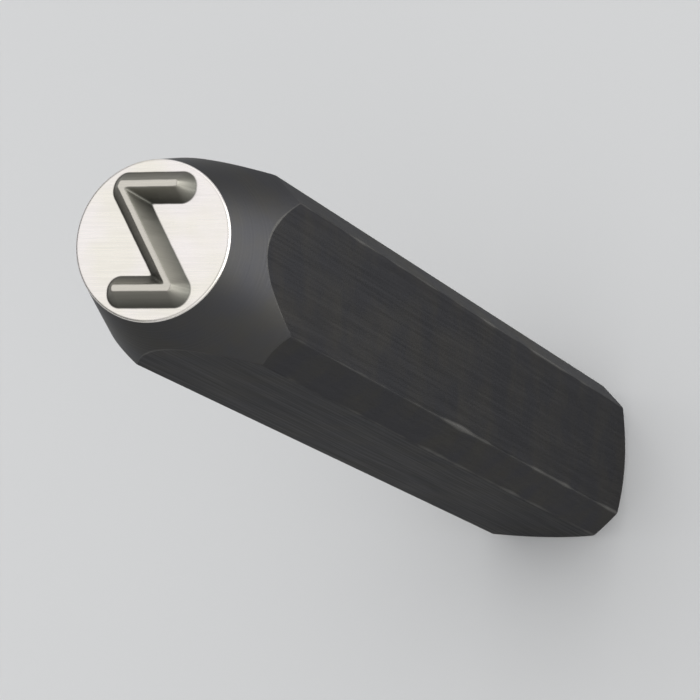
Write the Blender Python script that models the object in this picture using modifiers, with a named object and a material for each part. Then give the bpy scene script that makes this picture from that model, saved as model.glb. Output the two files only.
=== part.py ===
"""A steel letter punch: one length of square tool steel with bevelled corners, turned
down at one end to a round face that carries a raised, mirrored letter Z.

Metres, +Z up. The punch stands on its striking end with its axis on Z and the letter's
upright along +Y, so seen from above the letter is the mirror of the one it stamps.
"""

import math

import bmesh
import bpy
from mathutils import Matrix, Vector

# Bar
OVERALL_LENGTH = 0.0700
ACROSS_FLATS = 0.0100
CORNER_BEVEL = 0.0015

# Turned neck and face
FACE_DIAMETER = 0.0084
FACE_RIM = 0.00015
NECK_HALF_ANGLE = math.radians(15.0)

# Striking end
STRIKING_DIAMETER = 0.0086
STRIKING_HALF_ANGLE = math.radians(45.0)

# Letter, measured over the flat tops of its strokes
LETTER_HEIGHT = 0.0057
LETTER_WIDTH = 0.00315
LETTER_RELIEF = 0.00105
FLANK_ANGLE = math.radians(31.0)
BAR_STROKE = 0.00036
DIAGONAL_STROKE = 0.00030
BAR_CORNER = 0.00012

# How far one body runs past or into the next before they are cut or joined
OVERRUN = 0.0010
LETTER_ROOT = 0.0003

# Facets
TURNING_STEPS = 192
CORNER_SEGMENTS = 40
SHARP_ANGLE = math.radians(20.0)

FACE_HEIGHT = OVERALL_LENGTH - LETTER_RELIEF


def clear_scene():
    for obj in list(bpy.data.objects):
        bpy.data.objects.remove(obj, do_unlink=True)


def make_collection(name):
    collection = bpy.data.collections.new(name)
    bpy.context.scene.collection.children.link(collection)
    return collection


def make_object(name, bm, collection):
    mesh = bpy.data.meshes.new(name)
    bm.to_mesh(mesh)
    bm.free()
    obj = bpy.data.objects.new(name, mesh)
    collection.objects.link(obj)
    return obj


def make_cutter(name, bm, collection):
    cutter = make_object(name, bm, collection)
    cutter.hide_render = True
    cutter.display_type = "WIRE"
    return cutter


def metal(name, colour, roughness):
    material = bpy.data.materials.new(name)
    material.use_nodes = True
    shader = material.node_tree.nodes["Principled BSDF"]
    shader.inputs["Base Color"].default_value = (*colour, 1.0)
    shader.inputs["Metallic"].default_value = 1.0
    shader.inputs["Roughness"].default_value = roughness
    return material


def square_bar(collection):
    """The bar stock, cut over length, with its four long corners bevelled."""
    length = FACE_HEIGHT + 2 * OVERRUN
    bm = bmesh.new()
    bmesh.ops.create_cube(bm, size=1.0)
    bmesh.ops.scale(bm, vec=(ACROSS_FLATS, ACROSS_FLATS, length), verts=bm.verts)
    bmesh.ops.translate(bm, vec=(0.0, 0.0, FACE_HEIGHT / 2), verts=bm.verts)
    long_edges = [e for e in bm.edges if abs(e.verts[0].co.z - e.verts[1].co.z) > length / 2]
    bmesh.ops.bevel(
        bm, geom=long_edges, offset=CORNER_BEVEL, offset_type="OFFSET", segments=1, affect="EDGES"
    )
    return make_object("letter_punch", bm, collection)


def turned_envelope(collection):
    """What the lathe leaves: a solid of revolution that trims the bar at both ends.

    The profile runs down the outer side from the face to the striking end: the rim's
    small bevel, the neck's cone, a stretch clear of the bar, and the end's chamfer.
    """
    face_radius = FACE_DIAMETER / 2
    striking_radius = STRIKING_DIAMETER / 2
    half = ACROSS_FLATS / 2
    clear_radius = math.hypot(half, half) + OVERRUN
    neck_top = FACE_HEIGHT - FACE_RIM
    neck_bottom = neck_top - (clear_radius - face_radius) / math.tan(NECK_HALF_ANGLE)
    chamfer_top = (clear_radius - striking_radius) / math.tan(STRIKING_HALF_ANGLE)
    profile = (
        (0.0, FACE_HEIGHT),
        (face_radius - FACE_RIM, FACE_HEIGHT),
        (face_radius, neck_top),
        (clear_radius, neck_bottom),
        (clear_radius, chamfer_top),
        (striking_radius, 0.0),
        (0.0, 0.0),
    )
    bm = bmesh.new()
    points = [bm.verts.new((radius, 0.0, height)) for radius, height in profile]
    for upper, lower in zip(points, points[1:]):
        bm.edges.new((upper, lower))
    envelope = make_cutter("turned_envelope", bm, collection)
    screw = envelope.modifiers.new("turning", "SCREW")
    screw.axis = "Z"
    screw.steps = TURNING_STEPS
    screw.render_steps = TURNING_STEPS
    screw.use_merge_vertices = True
    screw.merge_threshold = 0.00001
    return envelope


def stroke(name, start, end, width, corner, collection):
    """One stroke of the letter, from start to end of its centreline.

    It is the hull of a tapered pin in each corner of its flat top, so the flanks slope
    all round at one angle and the corners open out into cones towards the face.
    """
    along = (end - start).normalized()
    across = Vector((-along.y, along.x))
    side = width / 2 - corner
    depth = LETTER_RELIEF + LETTER_ROOT
    root_corner = corner + depth * math.tan(FLANK_ANGLE)
    bm = bmesh.new()
    for tip in (start + along * corner, end - along * corner):
        for offset in sorted({-side, side}):
            centre = tip + across * offset
            for radius, height in ((corner, OVERALL_LENGTH), (root_corner, OVERALL_LENGTH - depth)):
                place = Matrix.Translation((centre.x, centre.y, height))
                bmesh.ops.create_circle(bm, segments=CORNER_SEGMENTS, radius=radius, matrix=place)
    hull = bmesh.ops.convex_hull(bm, input=bm.verts)
    inside = [v for v in hull["geom_interior"] if isinstance(v, bmesh.types.BMVert)]
    bmesh.ops.delete(bm, geom=inside, context="VERTS")
    bmesh.ops.recalc_face_normals(bm, faces=bm.faces)
    return make_cutter(name, bm, collection)


def letter_strokes(collection):
    """The mirrored Z: two level bars, and a diagonal from the top left to the bottom right."""
    right = LETTER_WIDTH / 2
    bar_line = (LETTER_HEIGHT - BAR_STROKE) / 2
    diagonal_corner = DIAGONAL_STROKE / 2
    top_left = Vector((-right, bar_line))
    top_right = Vector((right, bar_line))
    bottom_left = Vector((-right, -bar_line))
    bottom_right = Vector((right, -bar_line))
    return (
        stroke("top_bar", top_left, top_right, BAR_STROKE, BAR_CORNER, collection),
        stroke("bottom_bar", bottom_left, bottom_right, BAR_STROKE, BAR_CORNER, collection),
        stroke("diagonal", top_left, bottom_right, DIAGONAL_STROKE, diagonal_corner, collection),
    )


def add_boolean(obj, other, operation):
    boolean = obj.modifiers.new(other.name, "BOOLEAN")
    boolean.operation = operation
    boolean.solver = "EXACT"
    boolean.object = other


def bake_modifiers(obj):
    """Keeps the shaped result as the object's own mesh, so its edges can be marked sharp."""
    graph = bpy.context.evaluated_depsgraph_get()
    shaped = bpy.data.meshes.new_from_object(obj.evaluated_get(graph))
    obj.modifiers.clear()
    obj.data = shaped
    shaped.name = obj.name


def finish_surfaces(punch):
    """Blackened bar, bright ground face and letter, shaded smooth between sharp edges."""
    mesh = punch.data
    mesh.materials.clear()
    mesh.materials.append(metal("black_oxide_steel", (0.032, 0.031, 0.031), 0.42))
    mesh.materials.append(metal("ground_steel", (0.70, 0.69, 0.66), 0.24))
    for polygon in mesh.polygons:
        polygon.material_index = 1 if polygon.center.z > FACE_HEIGHT - FACE_RIM else 0
    mesh.shade_smooth()
    mesh.set_sharp_from_angle(angle=SHARP_ANGLE)


clear_scene()
parts = make_collection("steel_letter_punch")
cutters = make_collection("cutters")

punch = square_bar(parts)
add_boolean(punch, turned_envelope(cutters), "INTERSECT")
for letter_stroke in letter_strokes(cutters):
    add_boolean(punch, letter_stroke, "UNION")
bake_modifiers(punch)
finish_surfaces(punch)
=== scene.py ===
"""A steel letter punch standing on its striking end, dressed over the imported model."""

import math

import bmesh
import bpy
from mathutils import Matrix, Vector


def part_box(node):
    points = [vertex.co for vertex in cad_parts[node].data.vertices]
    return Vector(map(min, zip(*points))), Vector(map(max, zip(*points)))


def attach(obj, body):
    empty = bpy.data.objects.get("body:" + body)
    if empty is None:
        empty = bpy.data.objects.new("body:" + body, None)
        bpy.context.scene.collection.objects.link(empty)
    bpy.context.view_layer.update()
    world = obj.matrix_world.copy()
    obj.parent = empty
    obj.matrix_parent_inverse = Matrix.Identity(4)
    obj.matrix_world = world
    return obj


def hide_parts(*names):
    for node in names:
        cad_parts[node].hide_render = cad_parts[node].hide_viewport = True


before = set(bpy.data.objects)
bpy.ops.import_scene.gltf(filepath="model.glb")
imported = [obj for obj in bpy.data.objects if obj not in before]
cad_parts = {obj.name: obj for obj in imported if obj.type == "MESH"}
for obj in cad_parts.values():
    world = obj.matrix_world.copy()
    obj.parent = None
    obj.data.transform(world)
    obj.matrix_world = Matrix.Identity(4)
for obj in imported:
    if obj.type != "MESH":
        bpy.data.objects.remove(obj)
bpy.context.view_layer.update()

scene = bpy.context.scene
scene.view_settings.view_transform = "Standard"


# The punch's steel. The real one is a length of square tool-steel bar, turned down to a cone at one
# end and chamfered at the other, then hardened and blackened in an oxide bath. Its sizes are in
# millimetres, and MM turns them to the frame's metres.
MM = 0.001


def add(tree, kind, inputs=None, **settings):
    """Adds a node with its settings. An input is given a value, a socket, or a node, which
    stands for its first live output."""
    node = tree.nodes.new(kind)
    for name, value in settings.items():
        setattr(node, name, value)
    for key, value in (inputs or {}).items():
        if isinstance(value, bpy.types.Node):
            value = next(socket for socket in value.outputs if socket.enabled)
        if isinstance(value, bpy.types.NodeSocket):
            tree.links.new(value, node.inputs[key])
        else:
            node.inputs[key].default_value = value
    return node


def linear(hex_code):
    """The linear colour of an sRGB hex value."""
    channels = (int(hex_code[at:at + 2], 16) / 255 for at in (1, 3, 5))
    return (*(c / 12.92 if c <= 0.04045 else ((c + 0.055) / 1.055) ** 2.4 for c in channels), 1.0)


def new_material(name):
    """An empty metal material, its node tree and its Principled shader, wired to the surface."""
    material = bpy.data.materials.new(name)
    material.use_nodes = True
    material.node_tree.nodes.clear()
    shader = add(material.node_tree, "ShaderNodeBsdfPrincipled", {"Metallic": 1.0}, name="surface")
    add(material.node_tree, "ShaderNodeOutputMaterial", {"Surface": shader})
    return material, material.node_tree, shader


# Black oxide on the drawn bar. The bath leaves a thin blue-black layer that follows the steel, so
# the bar keeps its lengthwise drawing lines and a low satin shine. The layer is a touch browner in
# patches. Here and there along the edges it is greyer: partly oxide rubbed thin, partly a painted
# highlight standing in for the edges' glints.
OXIDE = linear("#343436")
OXIDE_BROWN = linear("#393837")
THIN_OXIDE_AND_EDGE_GLINT = linear("#5e5d5b")
PATCH_WIDTH = 3.0
PATCH_START, PATCH_FULL = 0.40, 0.65
EDGE_PATCH_SPACING = 6.0
EDGE_PATCH_START, EDGE_PATCH_FULL = 0.3, 0.8
EDGE_REACH = 0.12
EDGE_FADE = 0.12
# Edge-on, the layer shines less than bare metal does.
OXIDE_EDGE_ON = (0.5, 0.5, 0.5, 1.0)
# Real drawing lines are about 0.05 mm apart, too fine to show, so they are drawn coarser.
DRAWN_LINE = 0.16
DRAWN_LENGTH = 9.0
DRAWN_DEPTH = 0.003
DRAWN_SHINIEST, DRAWN_DULLEST = 0.35, 0.45
DRAWN_STRETCH = 0.5
# The values between which nearly all of a noise lies.
NOISE_LOW, NOISE_HIGH = 0.3, 0.7
QUARTER_TURN = 0.25
black_bar, shade, surface = new_material("black_oxide_on_drawn_bar")
surface.inputs["Specular Tint"].default_value = OXIDE_EDGE_ON
surface.inputs["Anisotropic"].default_value = DRAWN_STRETCH
surface.inputs["Anisotropic Rotation"].default_value = QUARTER_TURN
grain = add(shade, "ShaderNodeTangent", direction_type="RADIAL", axis="Z")
shade.links.new(grain.outputs["Tangent"], surface.inputs["Tangent"])
place = add(shade, "ShaderNodeTexCoord").outputs["Object"]
patches = add(shade, "ShaderNodeTexNoise", {
    "Vector": place, "Scale": 1 / (PATCH_WIDTH * MM), "Detail": 3.0, "Roughness": 0.55})
tint = add(shade, "ShaderNodeMapRange", {
    "Value": patches, "From Min": PATCH_START, "From Max": PATCH_FULL})
oxide = add(shade, "ShaderNodeMix", {
    "Factor": tint, "A": OXIDE, "B": OXIDE_BROWN}, data_type="RGBA", name="oxide")
edge = add(shade, "ShaderNodeAttribute", attribute_name="edge_distance").outputs["Fac"]
# Greyer edges: partly oxide rubbed thin, partly a painted highlight for the edges' glints.
edge_patches = add(shade, "ShaderNodeTexNoise", {
    "Vector": place, "Scale": 1 / (EDGE_PATCH_SPACING * MM), "Detail": 2.0, "Roughness": 0.5})
reach = add(shade, "ShaderNodeMapRange", {
    "Value": edge_patches, "From Min": EDGE_PATCH_START, "From Max": EDGE_PATCH_FULL,
    "To Min": -EDGE_FADE, "To Max": EDGE_REACH})
beyond = add(shade, "ShaderNodeMath", {0: edge, 1: reach}, operation="SUBTRACT")
worn_and_glint = add(shade, "ShaderNodeMapRange", {
    "Value": beyond, "From Max": EDGE_FADE, "To Min": 1.0, "To Max": 0.0})
skin = add(shade, "ShaderNodeMix", {
    "Factor": worn_and_glint, "A": oxide, "B": THIN_OXIDE_AND_EDGE_GLINT}, data_type="RGBA")
marks_space = add(shade, "ShaderNodeMapping", {
    "Vector": place,
    "Scale": (1 / (DRAWN_LINE * MM), 1 / (DRAWN_LINE * MM), 1 / (DRAWN_LENGTH * MM))},
    name="marks_space")
marks = add(shade, "ShaderNodeTexNoise", {"Vector": marks_space, "Scale": 1.0, "Detail": 2.0})
gloss = add(shade, "ShaderNodeMapRange", {
    "Value": marks, "From Min": NOISE_LOW, "From Max": NOISE_HIGH,
    "To Min": DRAWN_SHINIEST, "To Max": DRAWN_DULLEST}, name="gloss")
relief = add(shade, "ShaderNodeBump", {
    "Height": marks, "Strength": 0.5, "Distance": DRAWN_DEPTH * MM}, name="relief")
shade.links.new(skin.outputs["Result"], surface.inputs["Base Color"])
shade.links.new(gloss.outputs["Result"], surface.inputs["Roughness"])
shade.links.new(relief.outputs["Normal"], surface.inputs["Normal"])


def oxide_over(name, oxide, brown, marks_scale, depth, shiniest, dullest):
    """The bar's black oxide, copied for steel that was worked in another way; the new colours also
    carry painted light.
    """
    material = black_bar.copy()
    material.name = name
    nodes = material.node_tree.nodes
    nodes["oxide"].inputs["A"].default_value = oxide
    nodes["oxide"].inputs["B"].default_value = brown
    nodes["marks_space"].inputs["Scale"].default_value = marks_scale
    nodes["relief"].inputs["Distance"].default_value = depth * MM
    nodes["gloss"].inputs["To Min"].default_value = shiniest
    nodes["gloss"].inputs["To Max"].default_value = dullest
    return material


# The same oxide on the turned cone and chamfer. Under it are the tool's feed marks, which run round
# the punch and spread its shine lengthwise. Its colour is lighter than the bar's: partly the turned
# finish's own tone, partly a painted sheen for the light that the cone reflects. Real feed marks are
# about 0.05 mm apart, too fine to show, so they are drawn 0.14 mm apart.
TURNED_OXIDE = linear("#49494b")
TURNED_BROWN = linear("#4c4b49")
FEED_MARK = 0.14
FEED_DEPTH = 0.004
TURNED_DULLEST = 0.48
TURNED_STRETCH = 0.7
black_turned = oxide_over(
    "black_oxide_on_turned_steel", TURNED_OXIDE, TURNED_BROWN,
    (0.0, 0.0, 1 / (FEED_MARK * MM)), FEED_DEPTH, DRAWN_SHINIEST, TURNED_DULLEST)
surface = black_turned.node_tree.nodes["surface"]
surface.inputs["Anisotropic"].default_value = TURNED_STRETCH
surface.inputs["Anisotropic Rotation"].default_value = 0.0

# And on the four corner bevels. They were ground lengthwise on a 120 grit belt after the bar was
# drawn, so their lines are shorter and deeper and the layer is a little duller. Their colour is a
# little lighter than the bar's as painted light, which lifts the bevels where the lamps leave them
# darker than the flats.
BEVEL_OXIDE_PAINTED_LIGHTER = linear("#3f3f41")
BEVEL_BROWN_PAINTED_LIGHTER = linear("#434240")
BELT_LINE = 0.12
BELT_LENGTH = 4.0
BELT_DEPTH = 0.005
BELT_SHINIEST, BELT_DULLEST = 0.40, 0.50
black_bevel = oxide_over(
    "black_oxide_on_ground_bevel_painted_lighter", BEVEL_OXIDE_PAINTED_LIGHTER, BEVEL_BROWN_PAINTED_LIGHTER,
    (1 / (BELT_LINE * MM), 1 / (BELT_LINE * MM), 1 / (BELT_LENGTH * MM)), BELT_DEPTH,
    BELT_SHINIEST, BELT_DULLEST)


# Ground steel on the face, the rim and the letter's flat top. Grinding after the bath took the
# black off, so it is the one bright metal on the punch. The letter's flanks slope out of the
# stone's reach: their warm grey is partly a film and partly painted shade, and it darkens to a
# painted shade in the root where they meet the face.
FACE_STEEL = linear("#dcd7d5")
FACE_STEEL_WARM = linear("#d9d5cd")
LETTER_TOP = linear("#bab6ae")
FLANK_UPPER = linear("#838179")
FLANK_ROOT_SHADE = linear("#555550")
WARM_START, WARM_FULL = 0.40, 0.60
# The stone's real lines are about 0.03 mm apart, too fine to show, so they are drawn coarser.
SCRATCH_WIDTH = 0.09
SCRATCH_LENGTH = 2.5
SCRATCH_DEPTH = 0.003
SCRATCH_TURN = math.radians(12.0)
FACE_SHINIEST, FACE_DULLEST = 0.22, 0.34
FLANK_DULLNESS = 0.25
LETTER_RELIEF = 1.05
FLANK_ANGLE = math.radians(31.0)
FLANK_RUN = LETTER_RELIEF * math.tan(FLANK_ANGLE)
# How far out from the letter's outline its top's colour fades out and the face's fades in.
TOP_FADE_START, TOP_FADE_END = -0.04, 0.03
FACE_FADE_START, FACE_FADE_END = FLANK_RUN - 0.02, FLANK_RUN + 0.05
bright, shade, surface = new_material("ground_tool_steel")
place = add(shade, "ShaderNodeTexCoord").outputs["Object"]
patches = add(shade, "ShaderNodeTexNoise", {
    "Vector": place, "Scale": 1 / (PATCH_WIDTH * MM), "Detail": 2.0, "Roughness": 0.5})
scratch_space = add(shade, "ShaderNodeMapping", {
    "Vector": place, "Rotation": (0.0, 0.0, SCRATCH_TURN),
    "Scale": (1 / (SCRATCH_LENGTH * MM), 1 / (SCRATCH_WIDTH * MM), 1 / (SCRATCH_LENGTH * MM))})
scratches = add(shade, "ShaderNodeTexNoise", {
    "Vector": scratch_space, "Scale": 1.0, "Detail": 2.0})
tint = add(shade, "ShaderNodeMapRange", {
    "Value": patches, "From Min": WARM_START, "From Max": WARM_FULL})
face_colour = add(shade, "ShaderNodeMix", {
    "Factor": tint, "A": FACE_STEEL, "B": FACE_STEEL_WARM}, data_type="RGBA")
distance = add(shade, "ShaderNodeAttribute", attribute_name="letter_distance").outputs["Fac"]
# The flanks' colour, with painted shade that deepens towards the root.
down_flank = add(shade, "ShaderNodeMapRange", {
    "Value": distance, "From Min": 0.0, "From Max": FLANK_RUN})
flank_colour = add(shade, "ShaderNodeMix", {
    "Factor": down_flank, "A": FLANK_UPPER, "B": FLANK_ROOT_SHADE}, data_type="RGBA")
off_top = add(shade, "ShaderNodeMapRange", {
    "Value": distance, "From Min": TOP_FADE_START, "From Max": TOP_FADE_END},
    interpolation_type="SMOOTHSTEP")
letter_colour = add(shade, "ShaderNodeMix", {
    "Factor": off_top, "A": LETTER_TOP, "B": flank_colour}, data_type="RGBA")
on_face = add(shade, "ShaderNodeMapRange", {
    "Value": distance, "From Min": FACE_FADE_START, "From Max": FACE_FADE_END},
    interpolation_type="SMOOTHSTEP")
metal_colour = add(shade, "ShaderNodeMix", {
    "Factor": on_face, "A": letter_colour, "B": face_colour}, data_type="RGBA")
gloss = add(shade, "ShaderNodeMapRange", {
    "Value": scratches, "From Min": NOISE_LOW, "From Max": NOISE_HIGH,
    "To Min": FACE_SHINIEST, "To Max": FACE_DULLEST})
on_flank = add(shade, "ShaderNodeMath", {0: off_top, 1: on_face}, operation="SUBTRACT")
gloss = add(shade, "ShaderNodeMath", {
    0: on_flank, 1: FLANK_DULLNESS, 2: gloss}, operation="MULTIPLY_ADD")
relief = add(shade, "ShaderNodeBump", {
    "Height": scratches, "Strength": 0.4, "Distance": SCRATCH_DEPTH * MM})
shade.links.new(metal_colour.outputs["Result"], surface.inputs["Base Color"])
shade.links.new(gloss.outputs[0], surface.inputs["Roughness"])
shade.links.new(relief.outputs["Normal"], surface.inputs["Normal"])


# The punch's shape: the bar with its four long corners bevelled, the cone and the chamfered end, all
# in one tree. Its section is swept down the bar in rows, and each row lies where the bar, the cone
# or the end's chamfer has it.
punch_low, punch_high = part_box("letter_punch")
FACE_HEIGHT = punch_high.z / MM - LETTER_RELIEF
ACROSS_FLATS = (punch_high.x - punch_low.x) / MM
CORNER_BEVEL = 1.50
EDGE_RADIUS = 0.25
FACE_RADIUS = 4.20
FACE_RIM = 0.15
NECK_HALF_ANGLE = math.radians(15.0)
STRIKING_RADIUS = 4.30
STRIKING_HALF_ANGLE = math.radians(45.0)
STRIKING_RIM = 0.25
CREASE_BLEND = 0.04
ARC_STEPS = 4
FLAT_CUTS = 34
BEVEL_CUTS = 9
RIM_ROWS = 6
NECK_ROWS = 30
SHANK_ROWS = 48
CHAMFER_ROWS = 14
END_ROWS = 5
shape = bpy.data.node_groups.new("letter_punch_shape", "GeometryNodeTree")
sizes = {
    "Face height": FACE_HEIGHT,
    "Across flats": ACROSS_FLATS,
    "Corner bevel": CORNER_BEVEL,
    "Edge radius": EDGE_RADIUS,
    "Face radius": FACE_RADIUS,
    "Face rim": FACE_RIM,
    "Neck slope": math.tan(NECK_HALF_ANGLE),
    "Striking radius": STRIKING_RADIUS,
    "Striking slope": math.tan(STRIKING_HALF_ANGLE),
    "Striking rim": STRIKING_RIM,
    "Letter relief": LETTER_RELIEF,
}
socket_of = {}
for name in sizes:
    socket = shape.interface.new_socket(name, in_out="INPUT", socket_type="NodeSocketFloat")
    socket_of[name] = socket.identifier
shape.interface.new_socket("Punch", in_out="OUTPUT", socket_type="NodeSocketGeometry")
size = add(shape, "NodeGroupInput").outputs

# The section: a square with straight bevels and then rounded edges. Each edge has five points,
# so the sides that follow points 4 and 9 of every ten are the long ones, and they alone are cut.
square = add(shape, "GeometryNodeCurvePrimitiveQuadrilateral", {
    "Width": size["Across flats"], "Height": size["Across flats"]})
bevelled = add(shape, "GeometryNodeFilletCurve", {
    "Curve": square, "Count": 1, "Radius": size["Corner bevel"]}, mode="POLY")
rounded = add(shape, "GeometryNodeFilletCurve", {
    "Curve": bevelled, "Count": ARC_STEPS, "Radius": size["Edge radius"]}, mode="POLY")
turn = add(shape, "ShaderNodeMath", {
    0: add(shape, "GeometryNodeInputIndex"), 1: 2.0 * (ARC_STEPS + 1)}, operation="MODULO")
before_bevel = add(shape, "ShaderNodeMath", {
    0: turn, 1: float(ARC_STEPS), 2: 0.5}, operation="COMPARE")
before_flat = add(shape, "ShaderNodeMath", {
    0: turn, 1: 2.0 * ARC_STEPS + 1, 2: 0.5}, operation="COMPARE")
bevel_cuts = add(shape, "ShaderNodeMath", {0: before_bevel, 1: BEVEL_CUTS}, operation="MULTIPLY")
cuts = add(shape, "ShaderNodeMath", {
    0: before_flat, 1: FLAT_CUTS, 2: bevel_cuts}, operation="MULTIPLY_ADD")
section = add(shape, "GeometryNodeSubdivideCurve", {"Curve": rounded, "Cuts": cuts})
position = add(shape, "GeometryNodeInputPosition")
section_point = add(shape, "GeometryNodeCaptureAttribute", {"Geometry": section}, domain="POINT")
section_point.capture_items.new("VECTOR", "Section point")
shape.links.new(position.outputs[0], section_point.inputs["Section point"])
around = section_point.outputs["Section point"]
reach = add(shape, "ShaderNodeVectorMath", {0: around}, operation="LENGTH")
outward = add(shape, "ShaderNodeVectorMath", {0: around}, operation="NORMALIZE")

# The rows, counted down from the face.
row_counts = (RIM_ROWS, NECK_ROWS, SHANK_ROWS, CHAMFER_ROWS, END_ROWS)
row_starts = [sum(row_counts[:k]) for k in range(len(row_counts) + 1)]
rim_end, neck_end, shank_end = row_starts[1:4]
rail_line = add(shape, "GeometryNodeCurvePrimitiveLine")
rail = add(shape, "GeometryNodeResampleCurve", {"Curve": rail_line, "Count": row_starts[-1] + 1})
row_mark = add(shape, "GeometryNodeCaptureAttribute", {"Geometry": rail}, domain="POINT")
row_mark.capture_items.new("FLOAT", "Row")
shape.links.new(add(shape, "GeometryNodeInputIndex").outputs[0], row_mark.inputs["Row"])
row = row_mark.outputs["Row"]
tube = add(shape, "GeometryNodeCurveToMesh", {
    "Curve": row_mark.outputs[0], "Profile Curve": section_point.outputs[0]})

# Heights: the rim ends at rim_foot, the cone at crease and the bar at chamfer_top.
rim_foot = add(shape, "ShaderNodeMath", {
    0: size["Face height"], 1: size["Face rim"]}, operation="SUBTRACT")
beyond_face = add(shape, "ShaderNodeMath", {
    0: reach, 1: size["Face radius"]}, operation="SUBTRACT")
cone_drop = add(shape, "ShaderNodeMath", {
    0: beyond_face, 1: size["Neck slope"]}, operation="DIVIDE")
crease = add(shape, "ShaderNodeMath", {0: rim_foot, 1: cone_drop}, operation="SUBTRACT")
beyond_end = add(shape, "ShaderNodeMath", {
    0: reach, 1: size["Striking radius"]}, operation="SUBTRACT")
chamfer_rise = add(shape, "ShaderNodeMath", {
    0: beyond_end, 1: size["Striking slope"]}, operation="DIVIDE")
chamfer_top = add(shape, "ShaderNodeMath", {
    0: chamfer_rise, 1: size["Striking rim"]}, operation="ADD")

# Each stretch of rows has a step from 0 at its first row to 1 at its last.
steps = []
for kind, start, end in zip(("LINEAR", "SMOOTHSTEP", "SMOOTHERSTEP", "SMOOTHSTEP", "LINEAR"),
                            row_starts, row_starts[1:]):
    steps.append(add(shape, "ShaderNodeMapRange", {
        "Value": row, "From Min": float(start), "From Max": float(end)}, interpolation_type=kind))
rim_step, neck_step, shank_step, chamfer_step, end_step = steps
rim_angle = add(shape, "ShaderNodeMath", {0: rim_step, 1: math.pi / 2}, operation="MULTIPLY")
rim_sine = add(shape, "ShaderNodeMath", {0: rim_angle}, operation="SINE")
rim_cosine = add(shape, "ShaderNodeMath", {0: rim_angle}, operation="COSINE")
end_angle = add(shape, "ShaderNodeMath", {0: end_step, 1: math.pi / 2}, operation="MULTIPLY")
end_sine = add(shape, "ShaderNodeMath", {0: end_angle}, operation="SINE")
end_cosine = add(shape, "ShaderNodeMath", {0: end_angle}, operation="COSINE")
height = add(shape, "ShaderNodeMath", {
    0: size["Face rim"], 1: rim_cosine, 2: rim_foot}, operation="MULTIPLY_ADD")
for step, upper, lower in ((neck_step, rim_foot, crease), (shank_step, crease, chamfer_top),
                           (chamfer_step, chamfer_top, size["Striking rim"])):
    fall = add(shape, "ShaderNodeMath", {0: lower, 1: upper}, operation="SUBTRACT")
    height = add(shape, "ShaderNodeMath", {0: step, 1: fall, 2: height}, operation="MULTIPLY_ADD")
end_fall = add(shape, "ShaderNodeMath", {
    0: end_sine, 1: size["Striking rim"]}, operation="MULTIPLY")
height = add(shape, "ShaderNodeMath", {0: height, 1: end_fall}, operation="SUBTRACT")

# Radii: the least of the bar's, the cone's and the chamfer's, blended a little where they cross.
below_rim = add(shape, "ShaderNodeMath", {0: rim_foot, 1: height}, operation="SUBTRACT")
below_rim = add(shape, "ShaderNodeMath", {0: below_rim, 1: 0.0}, operation="MAXIMUM")
cone = add(shape, "ShaderNodeMath", {
    0: below_rim, 1: size["Neck slope"], 2: size["Face radius"]}, operation="MULTIPLY_ADD")
above_end = add(shape, "ShaderNodeMath", {
    0: height, 1: size["Striking rim"]}, operation="SUBTRACT")
above_end = add(shape, "ShaderNodeMath", {0: above_end, 1: 0.0}, operation="MAXIMUM")
chamfer = add(shape, "ShaderNodeMath", {
    0: above_end, 1: size["Striking slope"], 2: size["Striking radius"]}, operation="MULTIPLY_ADD")
radius = add(shape, "ShaderNodeMath", {
    0: reach, 1: cone, 2: CREASE_BLEND}, operation="SMOOTH_MIN")
radius = add(shape, "ShaderNodeMath", {
    0: radius, 1: chamfer, 2: CREASE_BLEND}, operation="SMOOTH_MIN")
rim_short = add(shape, "ShaderNodeMath", {0: 1.0, 1: rim_sine}, operation="SUBTRACT")
rim_short = add(shape, "ShaderNodeMath", {
    0: rim_short, 1: size["Face rim"]}, operation="MULTIPLY")
end_short = add(shape, "ShaderNodeMath", {0: 1.0, 1: end_cosine}, operation="SUBTRACT")
end_short = add(shape, "ShaderNodeMath", {
    0: end_short, 1: size["Striking rim"]}, operation="MULTIPLY")
radius = add(shape, "ShaderNodeMath", {0: radius, 1: rim_short}, operation="SUBTRACT")
radius = add(shape, "ShaderNodeMath", {0: radius, 1: end_short}, operation="SUBTRACT")
flat_place = add(shape, "ShaderNodeVectorMath", {0: outward, "Scale": radius}, operation="SCALE")
level = add(shape, "ShaderNodeCombineXYZ", {"Z": height})
bar_place = add(shape, "ShaderNodeVectorMath", {0: flat_place, 1: level}, operation="ADD")
bar = add(shape, "GeometryNodeSetPosition", {"Geometry": tube, "Position": bar_place})

# How far each point of the bar lies from the nearest edge, for the greyer edges: rubbed oxide and a
# painted edge highlight. Off the bar's own rows, the long edges count as far away.
quarter = add(shape, "ShaderNodeVectorMath", {0: around}, operation="ABSOLUTE")
half_flats = add(shape, "ShaderNodeMath", {0: size["Across flats"], 1: 0.5}, operation="MULTIPLY")
bevel_start = add(shape, "ShaderNodeMath", {
    0: half_flats, 1: size["Corner bevel"]}, operation="SUBTRACT")
right_edge = add(shape, "ShaderNodeCombineXYZ", {"X": half_flats, "Y": bevel_start})
back_edge = add(shape, "ShaderNodeCombineXYZ", {"X": bevel_start, "Y": half_flats})
to_right = add(shape, "ShaderNodeVectorMath", {0: quarter, 1: right_edge}, operation="DISTANCE")
to_back = add(shape, "ShaderNodeVectorMath", {0: quarter, 1: back_edge}, operation="DISTANCE")
to_long_edge = add(shape, "ShaderNodeMath", {0: to_right, 1: to_back}, operation="MINIMUM")
above_bar = add(shape, "ShaderNodeMath", {0: row, 1: float(neck_end)}, operation="LESS_THAN")
below_bar = add(shape, "ShaderNodeMath", {0: row, 1: float(shank_end)}, operation="GREATER_THAN")
off_bar = add(shape, "ShaderNodeMath", {0: above_bar, 1: below_bar}, operation="ADD")
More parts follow.
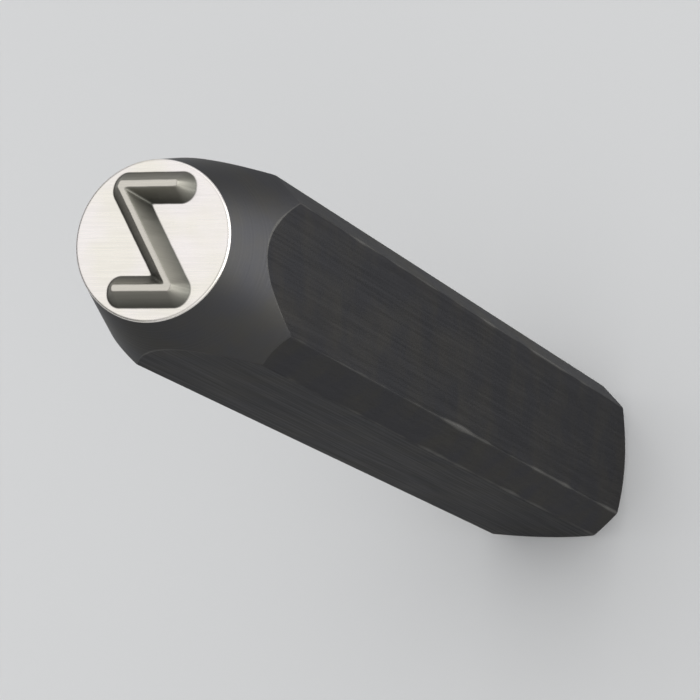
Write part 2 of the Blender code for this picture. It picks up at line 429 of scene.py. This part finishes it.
to_long_edge = add(shape, "ShaderNodeMath", {
    0: off_bar, 1: ACROSS_FLATS, 2: to_long_edge}, operation="MULTIPLY_ADD")
to_crease = add(shape, "ShaderNodeMath", {0: height, 1: crease}, operation="SUBTRACT")
to_crease = add(shape, "ShaderNodeMath", {0: to_crease}, operation="ABSOLUTE")
to_edge = add(shape, "ShaderNodeMath", {0: to_long_edge, 1: to_crease}, operation="MINIMUM")
bar = add(shape, "GeometryNodeStoreNamedAttribute", {
    "Geometry": bar, "Name": "edge_distance", "Value": to_edge}, domain="POINT")
bar = add(shape, "GeometryNodeStoreNamedAttribute", {
    "Geometry": bar, "Name": "letter_distance", "Value": ACROSS_FLATS}, domain="POINT")

# The finish of each stretch. The bevels are where X and Y add up to the most, and each takes in half
# of the rounded edge on either side.
bar = add(shape, "GeometryNodeSetMaterial", {"Geometry": bar, "Material": black_turned})
on_bar = add(shape, "FunctionNodeCompare", {
    "A": row, "B": (neck_end + shank_end) / 2, "Epsilon": SHANK_ROWS / 2},
    data_type="FLOAT", operation="EQUAL")
bar = add(shape, "GeometryNodeSetMaterial", {
    "Geometry": bar, "Selection": on_bar, "Material": black_bar})
corner_reach = add(shape, "ShaderNodeVectorMath", {
    0: quarter, 1: (1.0, 1.0, 0.0)}, operation="DOT_PRODUCT")
bevel_reach = add(shape, "ShaderNodeMath", {0: half_flats, 1: bevel_start}, operation="ADD")
on_bevel = add(shape, "FunctionNodeCompare", {
    "A": corner_reach, "B": bevel_reach, "Epsilon": EDGE_RADIUS / 8},
    data_type="FLOAT", operation="EQUAL")
on_bevel = add(shape, "FunctionNodeBooleanMath", {0: on_bar, 1: on_bevel}, operation="AND")
bar = add(shape, "GeometryNodeSetMaterial", {
    "Geometry": bar, "Selection": on_bevel, "Material": black_bevel})
on_rim = add(shape, "FunctionNodeCompare", {
    "A": row, "B": float(rim_end)}, data_type="FLOAT", operation="LESS_THAN")
bar = add(shape, "GeometryNodeSetMaterial", {
    "Geometry": bar, "Selection": on_rim, "Material": bright})


# The face and its letter. A pantograph mill cut the face down round the strokes with a pointed
# cutter, which left flat tops, flanks at one slope and a small fillet in every corner. The letter
# is a Z, mirrored so that its mark reads the right way.
LETTER_HEIGHT = 5.70
LETTER_WIDTH = 3.15
BAR_STROKE = 0.36
DIAGONAL_STROKE = 0.30
BAR_CORNER = 0.12
CORNER_FILL = 0.25
TOP_EDGE_BLEND = 0.10
ROOT_BLEND = 0.14
WAVER = 0.03
WAVER_LENGTH = 0.8
CELL = 0.036
GRID_INSET = 2 * CELL
DISC_INSET = 1.5 * CELL
MERGE = 0.001
flat_radius = FACE_RADIUS - FACE_RIM
grid_cells = 2 * round((flat_radius - GRID_INSET) / CELL)
grid_side = grid_cells * CELL
grid = add(shape, "GeometryNodeMeshGrid", {
    "Size X": grid_side, "Size Y": grid_side,
    "Vertices X": grid_cells + 1, "Vertices Y": grid_cells + 1})
from_middle = add(shape, "ShaderNodeVectorMath", {0: position}, operation="LENGTH")
off_face = add(shape, "FunctionNodeCompare", {
    "A": from_middle, "B": flat_radius - DISC_INSET}, data_type="FLOAT", operation="GREATER_THAN")
disc = add(shape, "GeometryNodeDeleteGeometry", {
    "Geometry": grid, "Selection": off_face}, domain="FACE", mode="ALL")

# A margin of triangles joins the disc of cells to the rim's own points.
edge_faces = add(shape, "GeometryNodeInputMeshEdgeNeighbors")
open_edge = add(shape, "FunctionNodeCompare", {
    "A": edge_faces, "B": 1.0}, data_type="FLOAT", operation="EQUAL")
disc_outline = add(shape, "GeometryNodeMeshToCurve", {"Mesh": disc, "Selection": open_edge})
ring_radius = add(shape, "ShaderNodeMath", {
    0: size["Face radius"], 1: size["Face rim"]}, operation="SUBTRACT")
ring_place = add(shape, "ShaderNodeVectorMath", {
    0: outward, "Scale": ring_radius}, operation="SCALE")
face_ring = add(shape, "GeometryNodeSetPosition", {
    "Geometry": section_point.outputs[0], "Position": ring_place})
both_lines = add(shape, "GeometryNodeJoinGeometry")
shape.links.new(face_ring.outputs[0], both_lines.inputs[0])
shape.links.new(disc_outline.outputs[0], both_lines.inputs[0])
margin = add(shape, "GeometryNodeFillCurve", {"Curve": both_lines}, mode="TRIANGLES")
face = add(shape, "GeometryNodeJoinGeometry")
shape.links.new(disc.outputs[0], face.inputs[0])
shape.links.new(margin.outputs[0], face.inputs[0])
face = add(shape, "GeometryNodeMergeByDistance", {"Geometry": face, "Distance": MERGE})

# Each stroke is a rounded box or capsule seen from above, turned to its direction.
bar_line = (LETTER_HEIGHT - BAR_STROKE) / 2
diagonal = Vector((LETTER_WIDTH, -2 * bar_line))
strokes = (
    (Vector((0.0, bar_line)), 0.0, LETTER_WIDTH, BAR_STROKE, BAR_CORNER),
    (Vector((0.0, -bar_line)), 0.0, LETTER_WIDTH, BAR_STROKE, BAR_CORNER),
    (Vector((0.0, 0.0)), math.atan2(diagonal.y, diagonal.x), diagonal.length, DIAGONAL_STROKE,
     DIAGONAL_STROKE / 2),
)
sway = add(shape, "ShaderNodeTexNoise", {
    "Vector": position, "Scale": 1 / WAVER_LENGTH, "Detail": 1.0})
sway = add(shape, "ShaderNodeVectorMath", {
    0: sway.outputs["Color"], 1: (0.5, 0.5, 0.5)}, operation="SUBTRACT")
sway = add(shape, "ShaderNodeVectorMath", {0: sway, 1: (WAVER, WAVER, 0.0)}, operation="MULTIPLY")
waved = add(shape, "ShaderNodeVectorMath", {0: position, 1: sway}, operation="ADD")
to_letter = None
for middle, angle, length, width, corner in strokes:
    local = add(shape, "ShaderNodeVectorMath", {
        0: waved, 1: (middle.x, middle.y, 0.0)}, operation="SUBTRACT")
    local = add(shape, "ShaderNodeVectorRotate", {
        "Vector": local, "Angle": -angle}, rotation_type="Z_AXIS")
    local = add(shape, "ShaderNodeVectorMath", {0: local}, operation="ABSOLUTE")
    past = add(shape, "ShaderNodeVectorMath", {
        0: local, 1: (length / 2 - corner, width / 2 - corner, 1.0)}, operation="SUBTRACT")
    past = add(shape, "ShaderNodeVectorMath", {0: past, 1: (0.0, 0.0, 0.0)}, operation="MAXIMUM")
    past = add(shape, "ShaderNodeVectorMath", {0: past}, operation="LENGTH")
    to_stroke = add(shape, "ShaderNodeMath", {0: past, 1: corner}, operation="SUBTRACT")
    if to_letter:
        to_stroke = add(shape, "ShaderNodeMath", {
            0: to_letter, 1: to_stroke, 2: CORNER_FILL}, operation="SMOOTH_MIN")
    to_letter = to_stroke

# The flanks fall from the letter's outline to the face, with a soft edge above and a fillet below.
flank = add(shape, "ShaderNodeMath", {
    0: to_letter, 1: -LETTER_RELIEF / FLANK_RUN, 2: size["Letter relief"]},
    operation="MULTIPLY_ADD")
letter = add(shape, "ShaderNodeMath", {
    0: flank, 1: size["Letter relief"], 2: TOP_EDGE_BLEND}, operation="SMOOTH_MIN")
letter = add(shape, "ShaderNodeMath", {
    0: letter, 1: 0.0, 2: ROOT_BLEND}, operation="SMOOTH_MAX")
face = add(shape, "GeometryNodeStoreNamedAttribute", {
    "Geometry": face, "Name": "letter_distance", "Value": to_letter}, domain="POINT")
face = add(shape, "GeometryNodeStoreNamedAttribute", {
    "Geometry": face, "Name": "edge_distance", "Value": ACROSS_FLATS}, domain="POINT")
letter_level = add(shape, "ShaderNodeMath", {0: letter, 1: size["Face height"]}, operation="ADD")
lift = add(shape, "ShaderNodeCombineXYZ", {"Z": letter_level})
face = add(shape, "GeometryNodeSetPosition", {"Geometry": face, "Offset": lift})
face = add(shape, "GeometryNodeSetMaterial", {"Geometry": face, "Material": bright})


# The striking end, which the hammer hits. It was turned flat, and it closes the punch inside its
# own rounded edge.
end_radius = add(shape, "ShaderNodeMath", {
    0: size["Striking radius"], 1: size["Striking rim"]}, operation="SUBTRACT")
end_place = add(shape, "ShaderNodeVectorMath", {
    0: outward, "Scale": end_radius}, operation="SCALE")
end_ring = add(shape, "GeometryNodeSetPosition", {
    "Geometry": section_point.outputs[0], "Position": end_place})
end_face = add(shape, "GeometryNodeFillCurve", {"Curve": end_ring}, mode="TRIANGLES")
end_face = add(shape, "GeometryNodeStoreNamedAttribute", {
    "Geometry": end_face, "Name": "edge_distance", "Value": ACROSS_FLATS}, domain="POINT")
end_face = add(shape, "GeometryNodeSetMaterial", {
    "Geometry": end_face, "Material": black_turned})


# The whole punch. The real one is a single piece of steel, so bar, face and end are merged to one
# shell, which becomes the punch's own mesh.
whole = add(shape, "GeometryNodeJoinGeometry")
for surface_patch in (bar, face, end_face):
    shape.links.new(surface_patch.outputs[0], whole.inputs[0])
whole = add(shape, "GeometryNodeMergeByDistance", {"Geometry": whole, "Distance": MERGE})
whole = add(shape, "GeometryNodeSetShadeSmooth", {"Geometry": whole})
whole = add(shape, "GeometryNodeTransform", {"Geometry": whole, "Scale": (MM, MM, MM)})
whole = add(shape, "GeometryNodeRealizeInstances", {"Geometry": whole})
add(shape, "NodeGroupOutput", {"Punch": whole})

punch = bpy.data.objects.new("punch", bpy.data.meshes.new("punch"))
scene.collection.objects.link(punch)
maker = punch.modifiers.new("shape", "NODES")
maker.node_group = shape
for name, value in sizes.items():
    maker[socket_of[name]] = value
graph = bpy.context.evaluated_depsgraph_get()
solid = bpy.data.meshes.new_from_object(punch.evaluated_get(graph))
punch.modifiers.clear()
punch.data = solid

# Empty material slots are taken out, and the filled faces are turned outwards.
for empty in reversed([at for at, kept in enumerate(solid.materials) if kept is None]):
    solid.materials.pop(index=empty)
bm = bmesh.new()
bm.from_mesh(solid)
bmesh.ops.recalc_face_normals(bm, faces=bm.faces)
bm.to_mesh(solid)
bm.free()
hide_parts("letter_punch")
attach(punch, "root")


# The floor that the punch stands on: plain, pale and matt, and 3 metres square. It is the stage and
# not a part of the punch.
FLOOR = linear("#d9dadb")
FLOOR_SIDE = 3.0
bm = bmesh.new()
bmesh.ops.create_grid(bm, x_segments=1, y_segments=1, size=FLOOR_SIDE / 2)
floor_mesh = bpy.data.meshes.new("floor")
bm.to_mesh(floor_mesh)
bm.free()
floor = bpy.data.objects.new("floor", floor_mesh)
scene.collection.objects.link(floor)
floor_paint, shade, surface = new_material("matt_floor")
surface.inputs["Base Color"].default_value = FLOOR
surface.inputs["Metallic"].default_value = 0.0
surface.inputs["Roughness"].default_value = 0.9
floor_mesh.materials.append(floor_paint)


# The light: a white room with its windows on the right and a dimmer wall on the left, which keeps
# the letter's left flanks dark.
WHITE = linear("#ffffff")
WINDOW_SIDE = Vector((0.92, 0.38, 0.0))
WINDOW_LEVEL = 1.5
WALL_LEVEL = 0.25
CEILING_LEVEL = 0.75
# The wall turns to windows between these two, where -1 is away from the windows and 1 towards them,
# and to ceiling between the next two, where 0 is level and 1 straight up.
WALL_END, WINDOW_START = -0.7, 0.4
CEILING_EDGE, CEILING_START = 0.55, 0.85
room = bpy.data.worlds.new("room")
room.use_nodes = True
room.node_tree.nodes.clear()
direction = add(room.node_tree, "ShaderNodeTexCoord").outputs["Generated"]
to_windows = add(room.node_tree, "ShaderNodeVectorMath", {
    0: direction, 1: WINDOW_SIDE}, operation="DOT_PRODUCT")
walls = add(room.node_tree, "ShaderNodeMapRange", {
    "Value": to_windows, "From Min": WALL_END, "From Max": WINDOW_START,
    "To Min": WALL_LEVEL, "To Max": WINDOW_LEVEL}, interpolation_type="SMOOTHSTEP")
upwards = add(room.node_tree, "ShaderNodeSeparateXYZ", {0: direction}).outputs["Z"]
to_ceiling = add(room.node_tree, "ShaderNodeMapRange", {
    "Value": upwards, "From Min": CEILING_EDGE, "From Max": CEILING_START},
    interpolation_type="SMOOTHSTEP")
around_punch = add(room.node_tree, "ShaderNodeMix", {
    "Factor": to_ceiling, "A": walls, "B": CEILING_LEVEL})
room_light = add(room.node_tree, "ShaderNodeBackground", {
    "Color": WHITE, "Strength": around_punch})
add(room.node_tree, "ShaderNodeOutputWorld", {"Surface": room_light})
scene.world = room


# Four lights. A large one above is what the face mirrors to the camera, a strip on the right lights
# the letter's right flanks, and a smaller one in front its lower flanks. A card low on the right
# gives the cone its one light stripe. Their sizes and distances are in metres.
face_middle = Vector((0.0, 0.0, FACE_HEIGHT * MM))


def soft_light(name, towards, distance, width, depth, radiance):
    """A rectangular light at a distance from the face, facing it. Its power gives the radiance."""
    lamp = bpy.data.lights.new(name, "AREA")
    lamp.shape = "RECTANGLE"
    lamp.size = width
    lamp.size_y = depth
    lamp.energy = radiance * math.pi * width * depth
    light = bpy.data.objects.new(name, lamp)
    light.location = face_middle + towards.normalized() * distance
    light.rotation_euler = towards.to_track_quat("Z", "Y").to_euler()
    scene.collection.objects.link(light)
    return light


soft_light("overhead_softbox", towards=Vector((-0.40, 0.20, 0.90)), distance=0.60,
           width=0.60, depth=0.60, radiance=0.53)
soft_light("front_softbox", towards=Vector((-0.14, -0.97, 0.18)), distance=1.00,
           width=0.60, depth=0.24, radiance=1.0)
strip = soft_light("right_strip", towards=Vector((0.95, 0.12, 0.10)), distance=1.00,
                   width=1.20, depth=0.32, radiance=8.0)
card = soft_light("low_card", towards=Vector((0.79, 0.17, -0.58)), distance=0.09,
                  width=0.10, depth=0.04, radiance=1.9)

# The strip and the card light nothing but the punch, so the floor stays even.
lit = bpy.data.collections.new("lit_by_strip_and_card")
lit.objects.link(punch)
for light in (strip, card):
    light.light_linking.receiver_collection = lit


# The camera looks down on the face from the right and a little from the front, so that the letter
# stands upright in the picture and the bar runs away to the lower right. Its distance and the
# height that it aims at are in metres, and its lens in millimetres.
VIEW_FROM = Vector((0.397, -0.203, 0.898)).normalized()
VIEW_DISTANCE = 0.195
AIM_HEIGHT = 0.040
LENS = 200.0
NEAREST_SEEN = 0.01
camera_place = face_middle + VIEW_FROM * VIEW_DISTANCE
backward = (camera_place - Vector((0.0, 0.0, AIM_HEIGHT))).normalized()
rightward = Vector((1.0, 0.0, 0.0))
rightward = (rightward - backward * rightward.dot(backward)).normalized()
upward = backward.cross(rightward)
camera = bpy.data.objects.new("camera", bpy.data.cameras.new("camera"))
camera.data.lens = LENS
camera.data.clip_start = NEAREST_SEEN
camera.matrix_world = Matrix.Translation(camera_place) @ Matrix(
    (rightward, upward, backward)).transposed().to_4x4()
scene.collection.objects.link(camera)
scene.camera = camera
